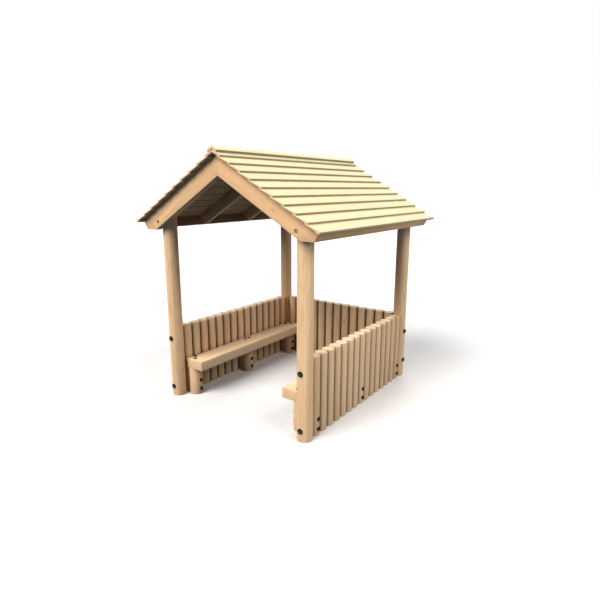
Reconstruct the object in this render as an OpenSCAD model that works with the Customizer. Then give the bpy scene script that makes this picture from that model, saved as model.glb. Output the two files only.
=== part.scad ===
// Garden gazebo: round posts, gable roof of lapped boards, palisade walls on three sides, two benches.
// Millimetres, +Z up, front towards -Y, origin on the ground below the middle of the roof.

/* [Posts] */

// Distance between post axes, left to right
span_x = 1740; // [1500:5:2000]
// Distance between post axes, front to back
span_y = 1990; // [1800:5:2300]
// Post diameter
post_d = 150; // [130:5:170]

/* [Roof] */

// Height of the rafter tops at the ridge
ridge_z = 2572; // [2400:2:2800]
// Roof pitch in degrees
pitch = 30; // [26:1:34]
// Depth of the end rafters
rafter_h = 170; // [150:5:190]
// Thickness of the end rafters
rafter_t = 75; // [60:5:90]
// Depth that each end rafter is let into its post
let_in = 6; // [3:1:12]
// From the post axis out to the lower corner of the rafter end
rafter_reach = 185; // [150:5:220]
// Square-cut height of the rafter ends, and height of the fascia
end_cut = 100; // [80:5:120]
// Fascia thickness
fascia_t = 25; // [20:1:35]
// Depth of the inner rafters
inner_h = 120; // [105:5:145]
// Thickness of the inner rafters
inner_t = 50; // [40:5:70]
// Board overhang past the end rafters, front and back
verge = 61; // [30:1:100]
// Lapped board courses on each slope
courses = 10; // [8:1:12]
// Board thickness at its lower edge
butt_t = 18; // [14:1:24]
// Board thickness at its upper edge
thin_t = 10; // [6:1:12]
// Board overhang past the rafter end, along the slope
eave_over = 40; // [20:2:60]
// Width of each ridge board over its top
cap_w = 73; // [60:1:90]
// Ridge board thickness
cap_t = 22; // [16:1:28]
// Top course left in view below the ridge board
cap_reveal = 51; // [40:1:70]

/* [Palisades] */

// Paling diameter
pale_d = 120; // [90:2:130]
// Least gap between palings
pale_gap = 1; // [0.5:0.5:10]
// Height of the palisades
wall_h = 780; // [650:10:900]
// Tie rod diameter
rod_d = 16; // [12:1:20]
// Tie rods stop this far inside the post face
rod_cover = 12; // [8:1:20]
// Height of the lower tie rod in the side walls
side_rod_low = 110; // [80:5:120]
// From the wall top down to the upper tie rod in the side walls
side_rod_drop = 115; // [100:5:150]
// Height of the lower tie rod in the back wall
back_rod_low = 205; // [170:5:220]
// From the wall top down to the upper tie rod in the back wall
back_rod_drop = 210; // [190:5:240]

/* [Benches] */

// Bench leg diameter
leg_d = 150; // [120:5:160]
// Height of the seat top
seat_z = 415; // [380:5:450]
// Seat plank thickness
seat_t = 105; // [80:5:120]
// Seat plank width
seat_w = 225; // [200:5:260]
// From the leg axes to the wall-side edge of the seat
seat_back = 48; // [46:1:60]
// Chamfer along the seat edges
seat_ease = 5; // [2:1:10]
// Clearance between the end legs and the back wall
leg_clear = 1.5; // [0.5:0.5:10]
// Height of the lower bench bolts
bench_bolt_low = 65; // [50:5:80]
// Height of the upper bench bolts
bench_bolt_high = 165; // [140:5:180]

/* [Fixings] */

// Post cap diameter
post_cap_d = 52; // [40:1:60]
// Bench cap diameter
bench_cap_d = 40; // [30:1:46]
// Straight edge of a cap over the round face
cap_edge = 5; // [3:1:8]
// Height of the bevel on a cap
cap_bevel = 6; // [3:1:8]
// Seat bolt counterbore
seat_bore_d = 30; // [24:1:36]
// Half the distance between the two seat bolts of a leg
seat_bolt_r = 36; // [30:1:44]
// Rafter bolt counterbore
rafter_bore_d = 40; // [30:1:48]
// Depth of the counterbores
bore_deep = 14; // [10:1:20]
// Bolt heads are this much smaller than their counterbores
head_gap = 8; // [4:1:12]
// Bolt head height
head_h = 9; // [6:1:10]
// From the post axis out to the rafter bolt
rafter_bolt_out = 5; // [-10:1:20]
// From the rafter top down to the rafter bolt
rafter_bolt_drop = 139; // [110:1:150]

/* [Hidden] */

$fn = 64;
eps = 0.5;
post_r = post_d / 2;
px = span_x / 2;
py = span_y / 2;
// Slope frame of the right-hand roof: s runs down the slope from the ridge, d runs down into the rafter
function rp(s, d) = [s * cos(pitch) - d * sin(pitch), ridge_z - s * sin(pitch) - d * cos(pitch)];
end_s = (px + rafter_reach + end_cut * sin(pitch)) / cos(pitch);
inner_s = end_s - fascia_t;
eave_s = end_s + eave_over;
top_h = thin_t + butt_t;
cap_s = cap_w - (top_h + cap_t) * tan(pitch);
lap = (eave_s - cap_s - cap_reveal) / (courses - 1);
rafter_in_y = py + post_r - let_in;
rafter_out_y = rafter_in_y + rafter_t;
board_y = rafter_out_y + verge;
inner_y = (rafter_in_y + rafter_t / 2) / 3;
// As many palings as fit, spread evenly between the posts
side_pales = floor((span_y - post_d) / (pale_d + pale_gap));
back_pales = floor((span_x - post_d) / (pale_d + pale_gap));
side_pitch = (span_y - post_d) / side_pales;
back_pitch = (span_x - post_d) / back_pales;
function side_pale_y(i) = (i - (side_pales - 1) / 2) * side_pitch;
function back_pale_x(i) = (i - (back_pales - 1) / 2) * back_pitch;
side_rod_high = wall_h - side_rod_drop;
back_rod_high = wall_h - back_rod_drop;
// Legs against the first, middle and last paling; the seat ends flush with the end legs
leg_x = px - pale_d / 2 - leg_d / 2;
seat_end = py - pale_d / 2 - leg_clear;
leg_at = [0, floor(side_pales / 2), side_pales - 1];
leg_y = [leg_d / 2 - seat_end, side_pale_y(leg_at[1]), seat_end - leg_d / 2];
seat_out = leg_x + seat_back;
seat_in = seat_out - seat_w;
seat_low = seat_z - seat_t;
bolt_x = px + rafter_bolt_out;
bolt_z = ridge_z - bolt_x * tan(pitch) - rafter_bolt_drop;
timber = [0.87, 0.70, 0.53];
pale_timber = [0.78, 0.64, 0.48];
roof_timber = [0.95, 0.90, 0.70];
steel = [0.55, 0.56, 0.58];
black = [0.09, 0.09, 0.09];

// A profile drawn in X and Z, taken from y0 to y1
module prism(points, y0, y1) {
    translate([0, y1, 0])
        rotate([90, 0, 0])
            linear_extrude(height = y1 - y0)
                polygon(points);
}

// The left side is the mirror image of the right
module side(name) {
    if (name == "left")
        mirror([1, 0, 0])
            children();
    else
        children();
}

// The back is the mirror image of the front
module end(name) {
    if (name == "back")
        mirror([0, 1, 0])
            children();
    else
        children();
}

// Rafter profile of the right slope, ending at s, with a level cut below the square cut
function rafter_profile(depth, s) = [
    rp(0, 0),
    rp(s, 0),
    rp(s, end_cut),
    rp(s - (depth - end_cut) / tan(pitch), depth),
    rp(depth * tan(pitch), depth)];

module rod_y(z) {
    translate([px, -(py + post_r - rod_cover), z])
        rotate([-90, 0, 0])
            cylinder(d = rod_d, h = 2 * (py + post_r - rod_cover));
}

module rod_x(z) {
    translate([-(px + post_r - rod_cover), py, z])
        rotate([0, 90, 0])
            cylinder(d = rod_d, h = 2 * (px + post_r - rod_cover));
}

module side_rods() {
    rod_y(side_rod_low);
    rod_y(side_rod_high);
}

module back_rods() {
    rod_x(back_rod_low);
    rod_x(back_rod_high);
}

module end_rafter_blank() {
    prism(rafter_profile(rafter_h, end_s), -rafter_out_y, -rafter_in_y);
}

// Front right post; the top follows the roof and is let in for the rafter
module front_post() {
    difference() {
        translate([px, -py, 0])
            cylinder(d = post_d, h = ridge_z);
        prism([rp(0, 0), rp(eave_s, 0), [rp(eave_s, 0)[0], ridge_z + eps], [0, ridge_z + eps]],
            -rafter_out_y, -py + post_d);
        end_rafter_blank();
        side_rods();
    }
}

module back_post() {
    difference() {
        end("back")
            front_post();
        back_rods();
    }
}

// Front right rafter with a counterbore for its bolt
module end_rafter() {
    difference() {
        end_rafter_blank();
        translate([bolt_x, -rafter_out_y - eps, bolt_z])
            rotate([-90, 0, 0])
                cylinder(d = rafter_bore_d, h = bore_deep + eps);
    }
}

module inner_rafter() {
    prism(rafter_profile(inner_h, inner_s), -inner_y - inner_t / 2, -inner_y + inner_t / 2);
}

module fascia() {
    prism([rp(inner_s, 0), rp(end_s, 0), rp(end_s, end_cut), rp(inner_s, end_cut)],
        -rafter_in_y, rafter_in_y);
}

// Lapped courses of the right slope, each thick at its lower edge
module roof_boards() {
    steps = [for (k = [0 : courses - 2], e = [0, 1])
        e == 0 ? rp(eave_s - k * lap, -top_h) : rp(eave_s - (k + 1) * lap, -thin_t)];
    prism(concat(
        [rp(0, 0), rp(eave_s, 0)],
        steps,
        [rp(eave_s - (courses - 1) * lap, -top_h), rp(-top_h * tan(pitch), -top_h)]),
        -board_y, board_y);
}

module ridge_board() {
    prism([
        rp(-top_h * tan(pitch), -top_h),
        rp(cap_s, -top_h),
        rp(cap_s, -top_h - cap_t),
        rp(-(top_h + cap_t) * tan(pitch), -top_h - cap_t)],
        -board_y, board_y);
}

module side_palings() {
    difference() {
        for (i = [0 : side_pales - 1])
            translate([px, side_pale_y(i), 0])
                cylinder(d = pale_d, h = wall_h);
        side_rods();
    }
}

module back_palings() {
    difference() {
        for (i = [0 : back_pales - 1])
            translate([back_pale_x(i), py, 0])
                cylinder(d = pale_d, h = wall_h);
        back_rods();
    }
}

// Places of the two seat bolts over each right-hand leg: slanting at the ends, in line in the middle
module at_seat_bolts() {
    for (k = [0 : 2], e = [-1, 1])
        translate([leg_x, leg_y[k], seat_z])
            rotate(45 + 45 * k)
                translate([e * seat_bolt_r, 0, 0])
                    children();
}

// Right-hand seat plank with counterbores over the legs
module seat() {
    difference() {
        prism([
            [seat_in + seat_ease, seat_low],
            [seat_out - seat_ease, seat_low],
            [seat_out, seat_low + seat_ease],
            [seat_out, seat_z - seat_ease],
            [seat_out - seat_ease, seat_z],
            [seat_in + seat_ease, seat_z],
            [seat_in, seat_z - seat_ease],
            [seat_in, seat_low + seat_ease]],
            -seat_end, seat_end);
        at_seat_bolts()
            translate([0, 0, -bore_deep])
                cylinder(d = seat_bore_d, h = bore_deep + eps);
    }
}

// Right-hand leg, k counts from the front
module leg(k) {
    translate([leg_x, leg_y[k], 0])
        cylinder(d = leg_d, h = seat_low);
}

// Cap over a bolt end, pointing along +X; its back is cut to the round face, which may lie off to its side
module round_cap(d, face_d, off = 0) {
    difference() {
        rotate([0, 90, 0])
            union() {
                cylinder(d = d, h = face_d / 2 + cap_edge);
                translate([0, 0, face_d / 2 + cap_edge])
                    cylinder(d1 = d, d2 = d - 2 * cap_bevel, h = cap_bevel);
            }
        translate([0, off, -d])
            cylinder(d = face_d, h = 2 * d);
    }
}

module front_left_post()
    color(timber)
        side("left")
            front_post();

module front_right_post()
    color(timber)
        front_post();

module back_left_post()
    color(timber)
        side("left")
            back_post();

module back_right_post()
    color(timber)
        back_post();

module front_left_rafter()
    color(timber)
        side("left")
            end_rafter();

module front_right_rafter()
    color(timber)
        end_rafter();

module back_left_rafter()
    color(timber)
        side("left")
            end("back")
                end_rafter();

module back_right_rafter()
    color(timber)
        end("back")
            end_rafter();

module inner_front_left_rafter()
    color(timber)
        side("left")
            inner_rafter();

module inner_front_right_rafter()
    color(timber)
        inner_rafter();

module inner_back_left_rafter()
    color(timber)
        side("left")
            end("back")
                inner_rafter();

module inner_back_right_rafter()
    color(timber)
        end("back")
            inner_rafter();

module left_fascia()
    color(timber)
        side("left")
            fascia();

module right_fascia()
    color(timber)
        fascia();

module left_roof_boards()
    color(roof_timber)
        side("left")
            roof_boards();

module right_roof_boards()
    color(roof_timber)
        roof_boards();

module left_ridge_board()
    color(roof_timber)
        side("left")
            ridge_board();

module right_ridge_board()
    color(roof_timber)
        ridge_board();

module left_palisade()
    color(pale_timber)
        side("left")
            side_palings();

module right_palisade()
    color(pale_timber)
        side_palings();

module back_palisade()
    color(pale_timber)
        back_palings();

module left_tie_rods()
    color(steel)
        side("left")
            side_rods();

module right_tie_rods()
    color(steel)
        side_rods();

module back_tie_rods()
    color(steel)
        back_rods();

module left_seat()
    color(timber)
        side("left")
            seat();

module right_seat()
    color(timber)
        seat();

module left_front_leg()
    color(timber)
        side("left")
            leg(0);

module left_middle_leg()
    color(timber)
        side("left")
            leg(1);

module left_back_leg()
    color(timber)
        side("left")
            leg(2);

module right_front_leg()
    color(timber)
        leg(0);

module right_middle_leg()
    color(timber)
        leg(1);

module right_back_leg()
    color(timber)
        leg(2);

// Caps over the tie rod ends
module post_caps()
    color(black)
        for (s = ["left", "right"])
            side(s) {
                for (z = [side_rod_low, side_rod_high], e = [-1, 1])
                    translate([px, e * py, z])
                        rotate(e * 90)
                            round_cap(post_cap_d, post_d);
                for (z = [back_rod_low, back_rod_high])
                    translate([px, py, z])
                        round_cap(post_cap_d, post_d);
            }

// Caps of the bolts through leg and paling, inside and outside
module bench_caps()
    color(black)
        for (s = ["left", "right"])
            side(s)
                for (k = [0 : 2], z = [bench_bolt_low, bench_bolt_high]) {
                    translate([leg_x, leg_y[k], z])
                        rotate(180)
                            round_cap(bench_cap_d, leg_d);
                    translate([px, leg_y[k], z])
                        round_cap(bench_cap_d, pale_d, side_pale_y(leg_at[k]) - leg_y[k]);
                }

module seat_bolts()
    color(black)
        for (s = ["left", "right"])
            side(s)
                at_seat_bolts()
                    translate([0, 0, -bore_deep])
                        cylinder(d = seat_bore_d - head_gap, h = head_h);

module rafter_bolts()
    color(steel)
        for (s = ["left", "right"], e = ["front", "back"])
            side(s)
                end(e)
                    translate([bolt_x, -rafter_out_y + bore_deep - head_h, bolt_z])
                        rotate([-90, 0, 0])
                            cylinder(d = rafter_bore_d - head_gap, h = head_h);

front_left_post();
front_right_post();
back_left_post();
back_right_post();
front_left_rafter();
front_right_rafter();
back_left_rafter();
back_right_rafter();
inner_front_left_rafter();
inner_front_right_rafter();
inner_back_left_rafter();
inner_back_right_rafter();
left_fascia();
right_fascia();
left_roof_boards();
right_roof_boards();
left_ridge_board();
right_ridge_board();
left_palisade();
right_palisade();
back_palisade();
left_tie_rods();
right_tie_rods();
back_tie_rods();
left_seat();
right_seat();
left_front_leg();
left_middle_leg();
left_back_leg();
right_front_leg();
right_middle_leg();
right_back_leg();
post_caps();
bench_caps();
seat_bolts();
rafter_bolts();
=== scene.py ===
"""Garden gazebo: round posts, a gable roof of lapped boards, palisade walls and two benches."""
import math
import random

import bmesh
import bpy
from bpy.props import FloatProperty, FloatVectorProperty, IntProperty, PointerProperty
from bpy.types import Operator, Panel, PropertyGroup
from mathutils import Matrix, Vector


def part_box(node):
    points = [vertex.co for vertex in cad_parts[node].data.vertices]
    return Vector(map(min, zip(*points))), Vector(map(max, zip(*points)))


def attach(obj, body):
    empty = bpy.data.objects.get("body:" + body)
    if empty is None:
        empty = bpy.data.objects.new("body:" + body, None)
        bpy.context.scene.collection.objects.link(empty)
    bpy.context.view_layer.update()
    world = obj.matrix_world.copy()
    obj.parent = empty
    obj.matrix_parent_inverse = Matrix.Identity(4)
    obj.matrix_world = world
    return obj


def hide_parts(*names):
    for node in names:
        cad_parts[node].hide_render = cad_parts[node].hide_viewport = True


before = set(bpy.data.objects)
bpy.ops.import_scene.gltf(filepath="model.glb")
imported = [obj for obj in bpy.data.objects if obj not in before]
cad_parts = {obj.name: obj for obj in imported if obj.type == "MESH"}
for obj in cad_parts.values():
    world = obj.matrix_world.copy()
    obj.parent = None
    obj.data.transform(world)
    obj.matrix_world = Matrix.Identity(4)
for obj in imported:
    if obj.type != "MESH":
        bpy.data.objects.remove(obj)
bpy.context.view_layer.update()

bl_info = {
    "name": "Garden Gazebo",
    "version": (1, 0, 0),
    "blender": (4, 5, 0),
    "location": "3D View > Sidebar > Gazebo",
    "description": "Models the timbers, fixings and finishes of a garden gazebo around its packed frame",
    "category": "Object",
}

BODY = "root"
SIDES = {"left": -1, "right": 1}
ENDS = {"front": -1, "back": 1}
LEGS = ("front", "middle", "back")
UP = Vector((0, 0, 1))
ALONG_Y = Vector((0, 1, 0))
RIDGE_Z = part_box("front_right_rafter")[1].z
# Post darkened all over with painted shade, for the shade it stands in at the back left corner
PAINTED_SHADE_POST = "back_left_post"

# Upper height of the strip under the lowest course, as a share of the board rise
STRIP_TAPER = 0.7

# Growth rings in metres, then how strongly knots and painted shade cover the wood
RING_WIDTH = 0.0052
RING_SWAY = 0.022
LOG_TAPER = 0.011
KNOT_DEPTH = 0.75
PAINTED_SHADE_DEPTH = 0.88

# Studio floor in metres
FLOOR_WIDE = 400
FLOOR_DROP = 0.0005

# Camera in metres, degrees and millimetres
CAMERA_PLACE = (3.195, -4.284, 2.274)
CAMERA_TURN = (76.76, -0.12, 35.95)
CAMERA_LENS = 28.69


def length(name, default, about):
    return FloatProperty(
        name=name, description=about, default=default, min=0.0005, unit="LENGTH", precision=4)


def colour(name, default, about):
    return FloatVectorProperty(
        name=name, description=about, default=default, size=3, min=0, max=1, subtype="COLOR")


def factor(name, default, about):
    return FloatProperty(name=name, description=about, default=default, min=0, max=1, subtype="FACTOR")


class GazeboSizes(PropertyGroup):
    """Sizes that the frame does not give"""
    pitch: FloatProperty(
        name="Roof pitch", description="Slope of both roof halves", default=math.radians(30), subtype="ANGLE")
    rafter_depth: length("End rafter depth", 0.170, "Depth of the end rafters, square to the slope")
    inner_depth: length("Inner rafter depth", 0.120, "Depth of the rafters between them")
    fascia_depth: length("Fascia depth", 0.100, "Height of the fascia boards, square to the slope")
    fascia_thick: length("Fascia thickness", 0.025, "Thickness of the fascia boards")
    courses: IntProperty(name="Courses", description="Lapped boards on each slope", default=10, min=2)
    board_butt: length("Board butt", 0.018, "Board thickness at its lower edge")
    board_rise: length("Board rise", 0.010, "Height of a board's lower edge over the rafters")
    board_cover: length("Board cover", 0.028, "How far a board reaches up under the next one")
    board_trim: length("Board trim", 0.004, "Most that a board's end is cut short of the longest one")
    board_tuck: length("Board tuck", 0.002, "Gap left at the hidden edges of the roof boards")
    peak_lean: length("Peak lean", 0.009, "How far the top course leans past the ridge line")
    strip_reach: length("Strip reach", 0.050, "How far the strip under the lowest course reaches up the slope")
    cap_reveal: length("Ridge reveal", 0.051, "Top course left in view below the ridge boards")
    ridge_thick: length("Ridge board", 0.022, "Thickness of the ridge boards")
    pale_d: length("Paling diameter", 0.120, "Diameter of the round palings")
    side_pales: IntProperty(name="Side palings", description="Palings in each side wall", default=15, min=3)
    back_pales: IntProperty(name="Back palings", description="Palings in the back wall", default=13, min=3)
    sawn_ease: length("Sawn edge", 0.003, "Rounding along the edges of sawn timbers")
    board_ease: length("Board edge", 0.0015, "Rounding along the edges of roof boards")
    round_ease: length("Round edge", 0.003, "Rounding of the ends of round timbers")
    seat_ease: length("Seat edge", 0.0025, "Rounding along the edges of the seats")
    bore_deep: length("Counterbore depth", 0.014, "Depth of the counterbores")
    seat_bolt_out: length("Seat bolt offset", 0.036, "Distance of a seat bolt from the middle of its leg")
    seat_bore: length("Seat counterbore", 0.030, "Diameter of the counterbores in the seats")
    seat_flange: length("Plug flange", 0.042, "Diameter of the flange on the plugs in the seats")
    flange_thick: length("Flange thickness", 0.004, "Thickness of that flange")
    rafter_bore: length("Rafter counterbore", 0.040, "Diameter of the counterbores in the end rafters")
    hex_across: length("Hexagon", 0.022, "Width of a bolt head across its flats")
    hex_head: length("Bolt head", 0.009, "Height of a bolt head")
    washer_d: length("Washer", 0.034, "Diameter of the washers in the end rafters")
    washer_thick: length("Washer thickness", 0.003, "Thickness of those washers")
    cap_edge: length("Cap edge", 0.005, "Straight edge of a cap over the timber")
    cap_dome: length("Cap dome", 0.006, "Height of the dome on a cap")
    dimple_deep: length("Dimple depth", 0.0018, "Depth of the dimple in a cap's crown")
    dimple_edge: length("Dimple edge", 0.0012, "Width of the step round that dimple's floor")
    post_cap: length("Post cap", 0.052, "Diameter of the caps on the posts")
    bench_cap: length("Bench cap", 0.040, "Diameter of the caps on legs and palings")


class GazeboFinish(PropertyGroup):
    """Colours of the woods, the fixings and the studio"""
    post_pale: colour("Post, pale", (0.975, 0.63, 0.35), "Early wood of the posts")
    post_dark: colour("Post, dark", (0.73, 0.415, 0.20), "Late wood of the posts")
    post_bare: colour("Post, ends", (0.81, 0.495, 0.26), "End grain of the posts")
    bench_pale: colour("Bench, pale", (0.96, 0.695, 0.425), "Early wood of seats and legs")
    bench_dark: colour("Bench, dark", (0.745, 0.49, 0.272), "Late wood of seats and legs")
    bench_bare: colour("Bench, ends", (0.72, 0.37, 0.165), "Redder wood of the seats' ends and of the legs")
    rafter_pale: colour("Rafter, pale", (0.955, 0.588, 0.297), "Early wood of rafters and fascias")
    rafter_dark: colour("Rafter, dark", (0.76, 0.40, 0.185), "Late wood of rafters and fascias")
    rafter_bare: colour("Rafter, ends", (1.0, 0.56, 0.235), "Rafter ends and fascias, of a warmer shade")
    paling_pale: colour("Paling, pale", (0.875, 0.583, 0.335), "Early wood of the palings")
    paling_dark: colour("Paling, dark", (0.625, 0.382, 0.202), "Late wood of the palings")
    paling_bare: colour("Paling, ends", (0.78, 0.51, 0.285), "End grain of the palings")
    roof_pale: colour("Roof, pale", (0.705, 0.655, 0.395), "Upper faces of the roof boards, early wood")
    roof_dark: colour("Roof, dark", (0.60, 0.52, 0.28), "Upper faces of the roof boards, late wood")
    roof_bare: colour("Roof, bare", (0.88, 0.585, 0.335), "Edges, ends and undersides of those boards")
    knot: colour("Knots", (0.34, 0.17, 0.075), "Heart of the knots")
    # Painted shade: this dark colour stands in for the shade in gaps, on lower edges and under the roof
    stain: colour("Stain", (0.090, 0.071, 0.044), "Damp stain in gaps, on lower edges and under the roof")
    cap: colour("Caps", (0.006, 0.006, 0.006), "Moulded bolt caps")
    # Painted highlight: a paler colour on the dimple floor that stands in for the highlight at a cap's crown
    crown: colour("Cap crowns", (0.085, 0.080, 0.055), "Dusty dimple in the crown of a cap")
    steel: colour("Steel", (0.48, 0.43, 0.37), "Rods and bolts plated with yellow zinc")
    floor: colour("Floor", (0.83, 0.79, 0.75), "Studio floor as it is seen")
    bounce: colour("Floor bounce", (0.012, 0.052, 0.092), "Studio floor as it lights the gazebo from below")
    surround: colour("Surround", (0.075, 0.120, 0.180), "Studio surround as it lights the gazebo")


class GazeboPaintedShade(PropertyGroup):
    """Shares of painted shade on the timbers, darkening the faces that lie in the gazebo's own shade"""
    # Each share below sets how dark the painted shade is on its faces, which lie in the gazebo's own shade
    shaded_post: factor("Shaded post", 0.22, "Stain all over the back left post")
    rafter_back: factor("End rafters, inside", 0.5, "Stain on the lower and inner faces of the end rafters")
    inner_rafter: factor("Inner rafters", 0.45, "Stain all over the inner rafters")
    fascia_back: factor("Fascias, inside", 0.7, "Stain on the inner faces of the fascias")
    board_back: factor("Boards, underneath", 0.5, "Stain on the undersides and upper edges of the boards")
    board_lip: factor("Board edges", 0.58, "Stain on the lower edges of the lapped boards")
    ridge_lip: factor("Ridge edges", 0.72, "Stain on the lower edges of the ridge boards")
    wall_top: factor("Wall tops", 0.3, "Stain on the tops of the left and back walls")
    gap_from: factor("Gap stain, start", 0.68, "Share of a paling's radius where the stain beside it starts")
    gap_full: factor("Gap stain, full", 0.93, "Share of a paling's radius where that stain is full")


def sizes():
    return bpy.context.scene.gazebo_sizes


def finish():
    return bpy.context.scene.gazebo_finish


def weather():
    return bpy.context.scene.gazebo_weather


def fresh():
    """Leave edit mode with nothing selected."""
    if bpy.context.object and bpy.context.object.mode != "OBJECT":
        bpy.ops.object.mode_set(mode="OBJECT")
    bpy.ops.object.select_all(action="DESELECT")


def hold(piece):
    """Make a piece the only selected and active one."""
    fresh()
    piece.select_set(True)
    bpy.context.view_layer.objects.active = piece


def settle(name):
    """Name the new primitive and put its place, turn and size into its mesh."""
    piece = bpy.context.active_object
    piece.name = piece.data.name = name
    bpy.ops.object.transform_apply(location=True, rotation=True, scale=True)
    return piece


def choose(piece, kind, test):
    """In edit mode, select just the verts, edges or faces that pass a test."""
    bpy.ops.mesh.select_mode(type={"verts": "VERT", "edges": "EDGE", "faces": "FACE"}[kind])
    bpy.ops.mesh.select_all(action="DESELECT")
    mesh = bmesh.from_edit_mesh(piece.data)
    for item in getattr(mesh, kind):
        if test(item):
            item.select_set(True)
    mesh.select_flush_mode()
    bmesh.update_edit_mesh(piece.data)


def smooth(piece, degrees=40):
    hold(piece)
    bpy.ops.object.shade_smooth_by_angle(angle=math.radians(degrees))


def saw_off(point, normal):
    """In edit mode, cut the whole mesh along a plane, drop what lies beyond it and close the cut."""
    bpy.ops.mesh.select_all(action="SELECT")
    bpy.ops.mesh.bisect(plane_co=point, plane_no=normal, use_fill=True, clear_outer=True)


def slope_at(side, s, h):
    """X and Z of a place on a roof half: s down the slope from the ridge, h over the rafter tops."""
    pitch = sizes().pitch
    out = s * math.cos(pitch) + h * math.sin(pitch)
    return Vector((side * out, RIDGE_Z - s * math.sin(pitch) + h * math.cos(pitch)))


def on_slope(side, places):
    """An outline in X and Z from places down the slope and over the rafter tops."""
    return [tuple(slope_at(side, s, h)) for s, h in places]


def down_slope(side):
    pitch = sizes().pitch
    return Vector((side * math.cos(pitch), 0, -math.sin(pitch)))


def roof_normal(side):
    pitch = sizes().pitch
    return Vector((side * math.sin(pitch), 0, math.cos(pitch)))


def sawn(name, outline, y0, y1, ease, segments=2):
    """A timber sawn from a block along each side of a convex outline in X and Z, with its edges eased."""
    fresh()
    low = Vector((min(p[0] for p in outline), y0, min(p[1] for p in outline)))
    high = Vector((max(p[0] for p in outline), y1, max(p[1] for p in outline)))
    bpy.ops.mesh.primitive_cube_add(size=1, location=(low + high) / 2, scale=high - low)
    piece = settle(name)
    bpy.ops.object.mode_set(mode="EDIT")
    middle = sum((Vector(p) for p in outline), Vector((0, 0))) / len(outline)
    for a, b in zip(outline, outline[1:] + outline[:1]):
        normal = Vector((b[1] - a[1], a[0] - b[0])).normalized()
        if normal.dot(Vector(a) - middle) < 0:
            normal.negate()
        if max(abs(normal.x), abs(normal.y)) < 0.9999:
            saw_off((a[0], 0, a[1]), (normal.x, 0, normal.y))
    bpy.ops.mesh.select_all(action="SELECT")
    bpy.ops.mesh.dissolve_limited(angle_limit=math.radians(0.5))
    if ease:
        bpy.ops.mesh.select_all(action="SELECT")
        bpy.ops.mesh.bevel(offset=ease, segments=segments, affect="EDGES")
    bpy.ops.object.mode_set(mode="OBJECT")
    return piece


def turned(name, height, radius, ease, sides=48):
    """A round timber standing at the origin, with the rims of its ends rounded over."""
    fresh()
    bpy.ops.mesh.primitive_cylinder_add(
        vertices=sides, radius=radius, depth=height, end_fill_type="NGON", location=(0, 0, height / 2))
    piece = settle(name)
    bpy.ops.object.mode_set(mode="EDIT")
    choose(piece, "edges", lambda e: abs(e.verts[0].co.z - e.verts[1].co.z) < 1e-6)
    bpy.ops.mesh.bevel(offset=ease, segments=3, affect="EDGES")
    bpy.ops.object.mode_set(mode="OBJECT")
    return piece


def plug(place, towards, radius, depth, over=0.01):
    """A round cutter whose blind end lies at depth below a face that looks towards a direction."""
    towards = Vector(towards).normalized()
    middle = Vector(place) + towards * (over - depth) / 2
    turn = UP.rotation_difference(towards).to_euler()
    fresh()
    bpy.ops.mesh.primitive_cylinder_add(
        vertices=40, radius=radius, depth=depth + over, location=middle, rotation=turn)
    return settle("cutter")


def cut_by(piece, cutter):
    """Take a cutter's room out of a piece and remove the cutter."""
    hold(piece)
    bpy.ops.object.modifier_add(type="BOOLEAN")
    cut = piece.modifiers[-1]
    cut.operation = "DIFFERENCE"
    cut.solver = "EXACT"
    cut.object = cutter
    bpy.ops.object.modifier_apply(modifier=cut.name)
    bpy.data.objects.remove(cutter)


def off_centre(place, wander, draw):
    """The pith of an upright round timber, a little off its middle."""
    return place[0] + draw.uniform(-wander, wander), place[1] + draw.uniform(-wander, wander), 0


def lay_grain(piece, along, pith, draw):
    """Store where each point lay in its log: two places across the grain from the pith, one along it. Each
    timber draws its own stretch of log and its own tone, and its ends are marked as bare."""
    along = Vector(along).normalized()
    across = along.cross(ALONG_Y if abs(along.y) < 0.9 else UP).normalized()
    third = along.cross(across)
    start = draw.uniform(0, 40)
    tone = draw.random()
    mesh = piece.data
    places = []
    for v in mesh.vertices:
        reach = v.co - Vector(pith)
        places += [reach.dot(across), reach.dot(third), reach.dot(along) + start]
    mesh.attributes.new("grain", "FLOAT_VECTOR", "POINT").data.foreach_set("vector", places)
    mesh.attributes.new("tone", "FLOAT", "POINT").data.foreach_set("value", [tone] * len(mesh.vertices))
    mark(piece, "bare", "FACE", lambda f: float(looks(f, along) or looks(f, -along)))


def mark(piece, name, kind, share):
    """Store a share from 0 to 1 on each point or face of a piece."""
    mesh = piece.data
    if name in mesh.attributes:
        mesh.attributes.remove(mesh.attributes[name])
    items = mesh.vertices if kind == "POINT" else mesh.polygons
    mesh.attributes.new(name, "FLOAT", kind).data.foreach_set("value", [share(item) for item in items])


def looks(face, direction, least=0.8):
    """Whether a face looks along a direction, with the least cosine that counts."""
    return face.normal.dot(direction) > least


def mark_bare_and_painted_shade(board, side, lip):
    """Keep a board's upper face in the roof's pale colours and give its other faces the bare colour; put
    painted shade on its lower edge, its upper edge and its underside.
    """
    outward, downhill = roof_normal(side), down_slope(side)
    back = weather().board_back

    def stain(face):
        if looks(face, downhill):
            return lip
        return back if looks(face, -outward) or looks(face, -downhill) else 0.0

    mark(board, "bare", "FACE", lambda f: float(not looks(f, outward, 0.6)))
    mark(board, "stain", "FACE", stain)


def copies(master, places):
    """Copies of a piece that looks up, moved to each place and turned to its direction; the piece goes."""
    made = []
    for place, towards in places:
        hold(master)
        bpy.ops.object.duplicate(linked=False)
        copy = bpy.context.active_object
        level = (0, math.pi / 2, math.atan2(towards[1], towards[0]))
        copy.rotation_euler = (0, 0, 0) if towards[2] else level
        copy.location = place
        bpy.ops.object.transform_apply(location=True, rotation=True, scale=True)
        made.append(copy)
    bpy.data.objects.remove(master)
    return made


def standing(node):
    """Middle, half width and top of an upright round node."""
    low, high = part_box(node)
    return (low + high) / 2, (high.x - low.x) / 2, high.z


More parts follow.
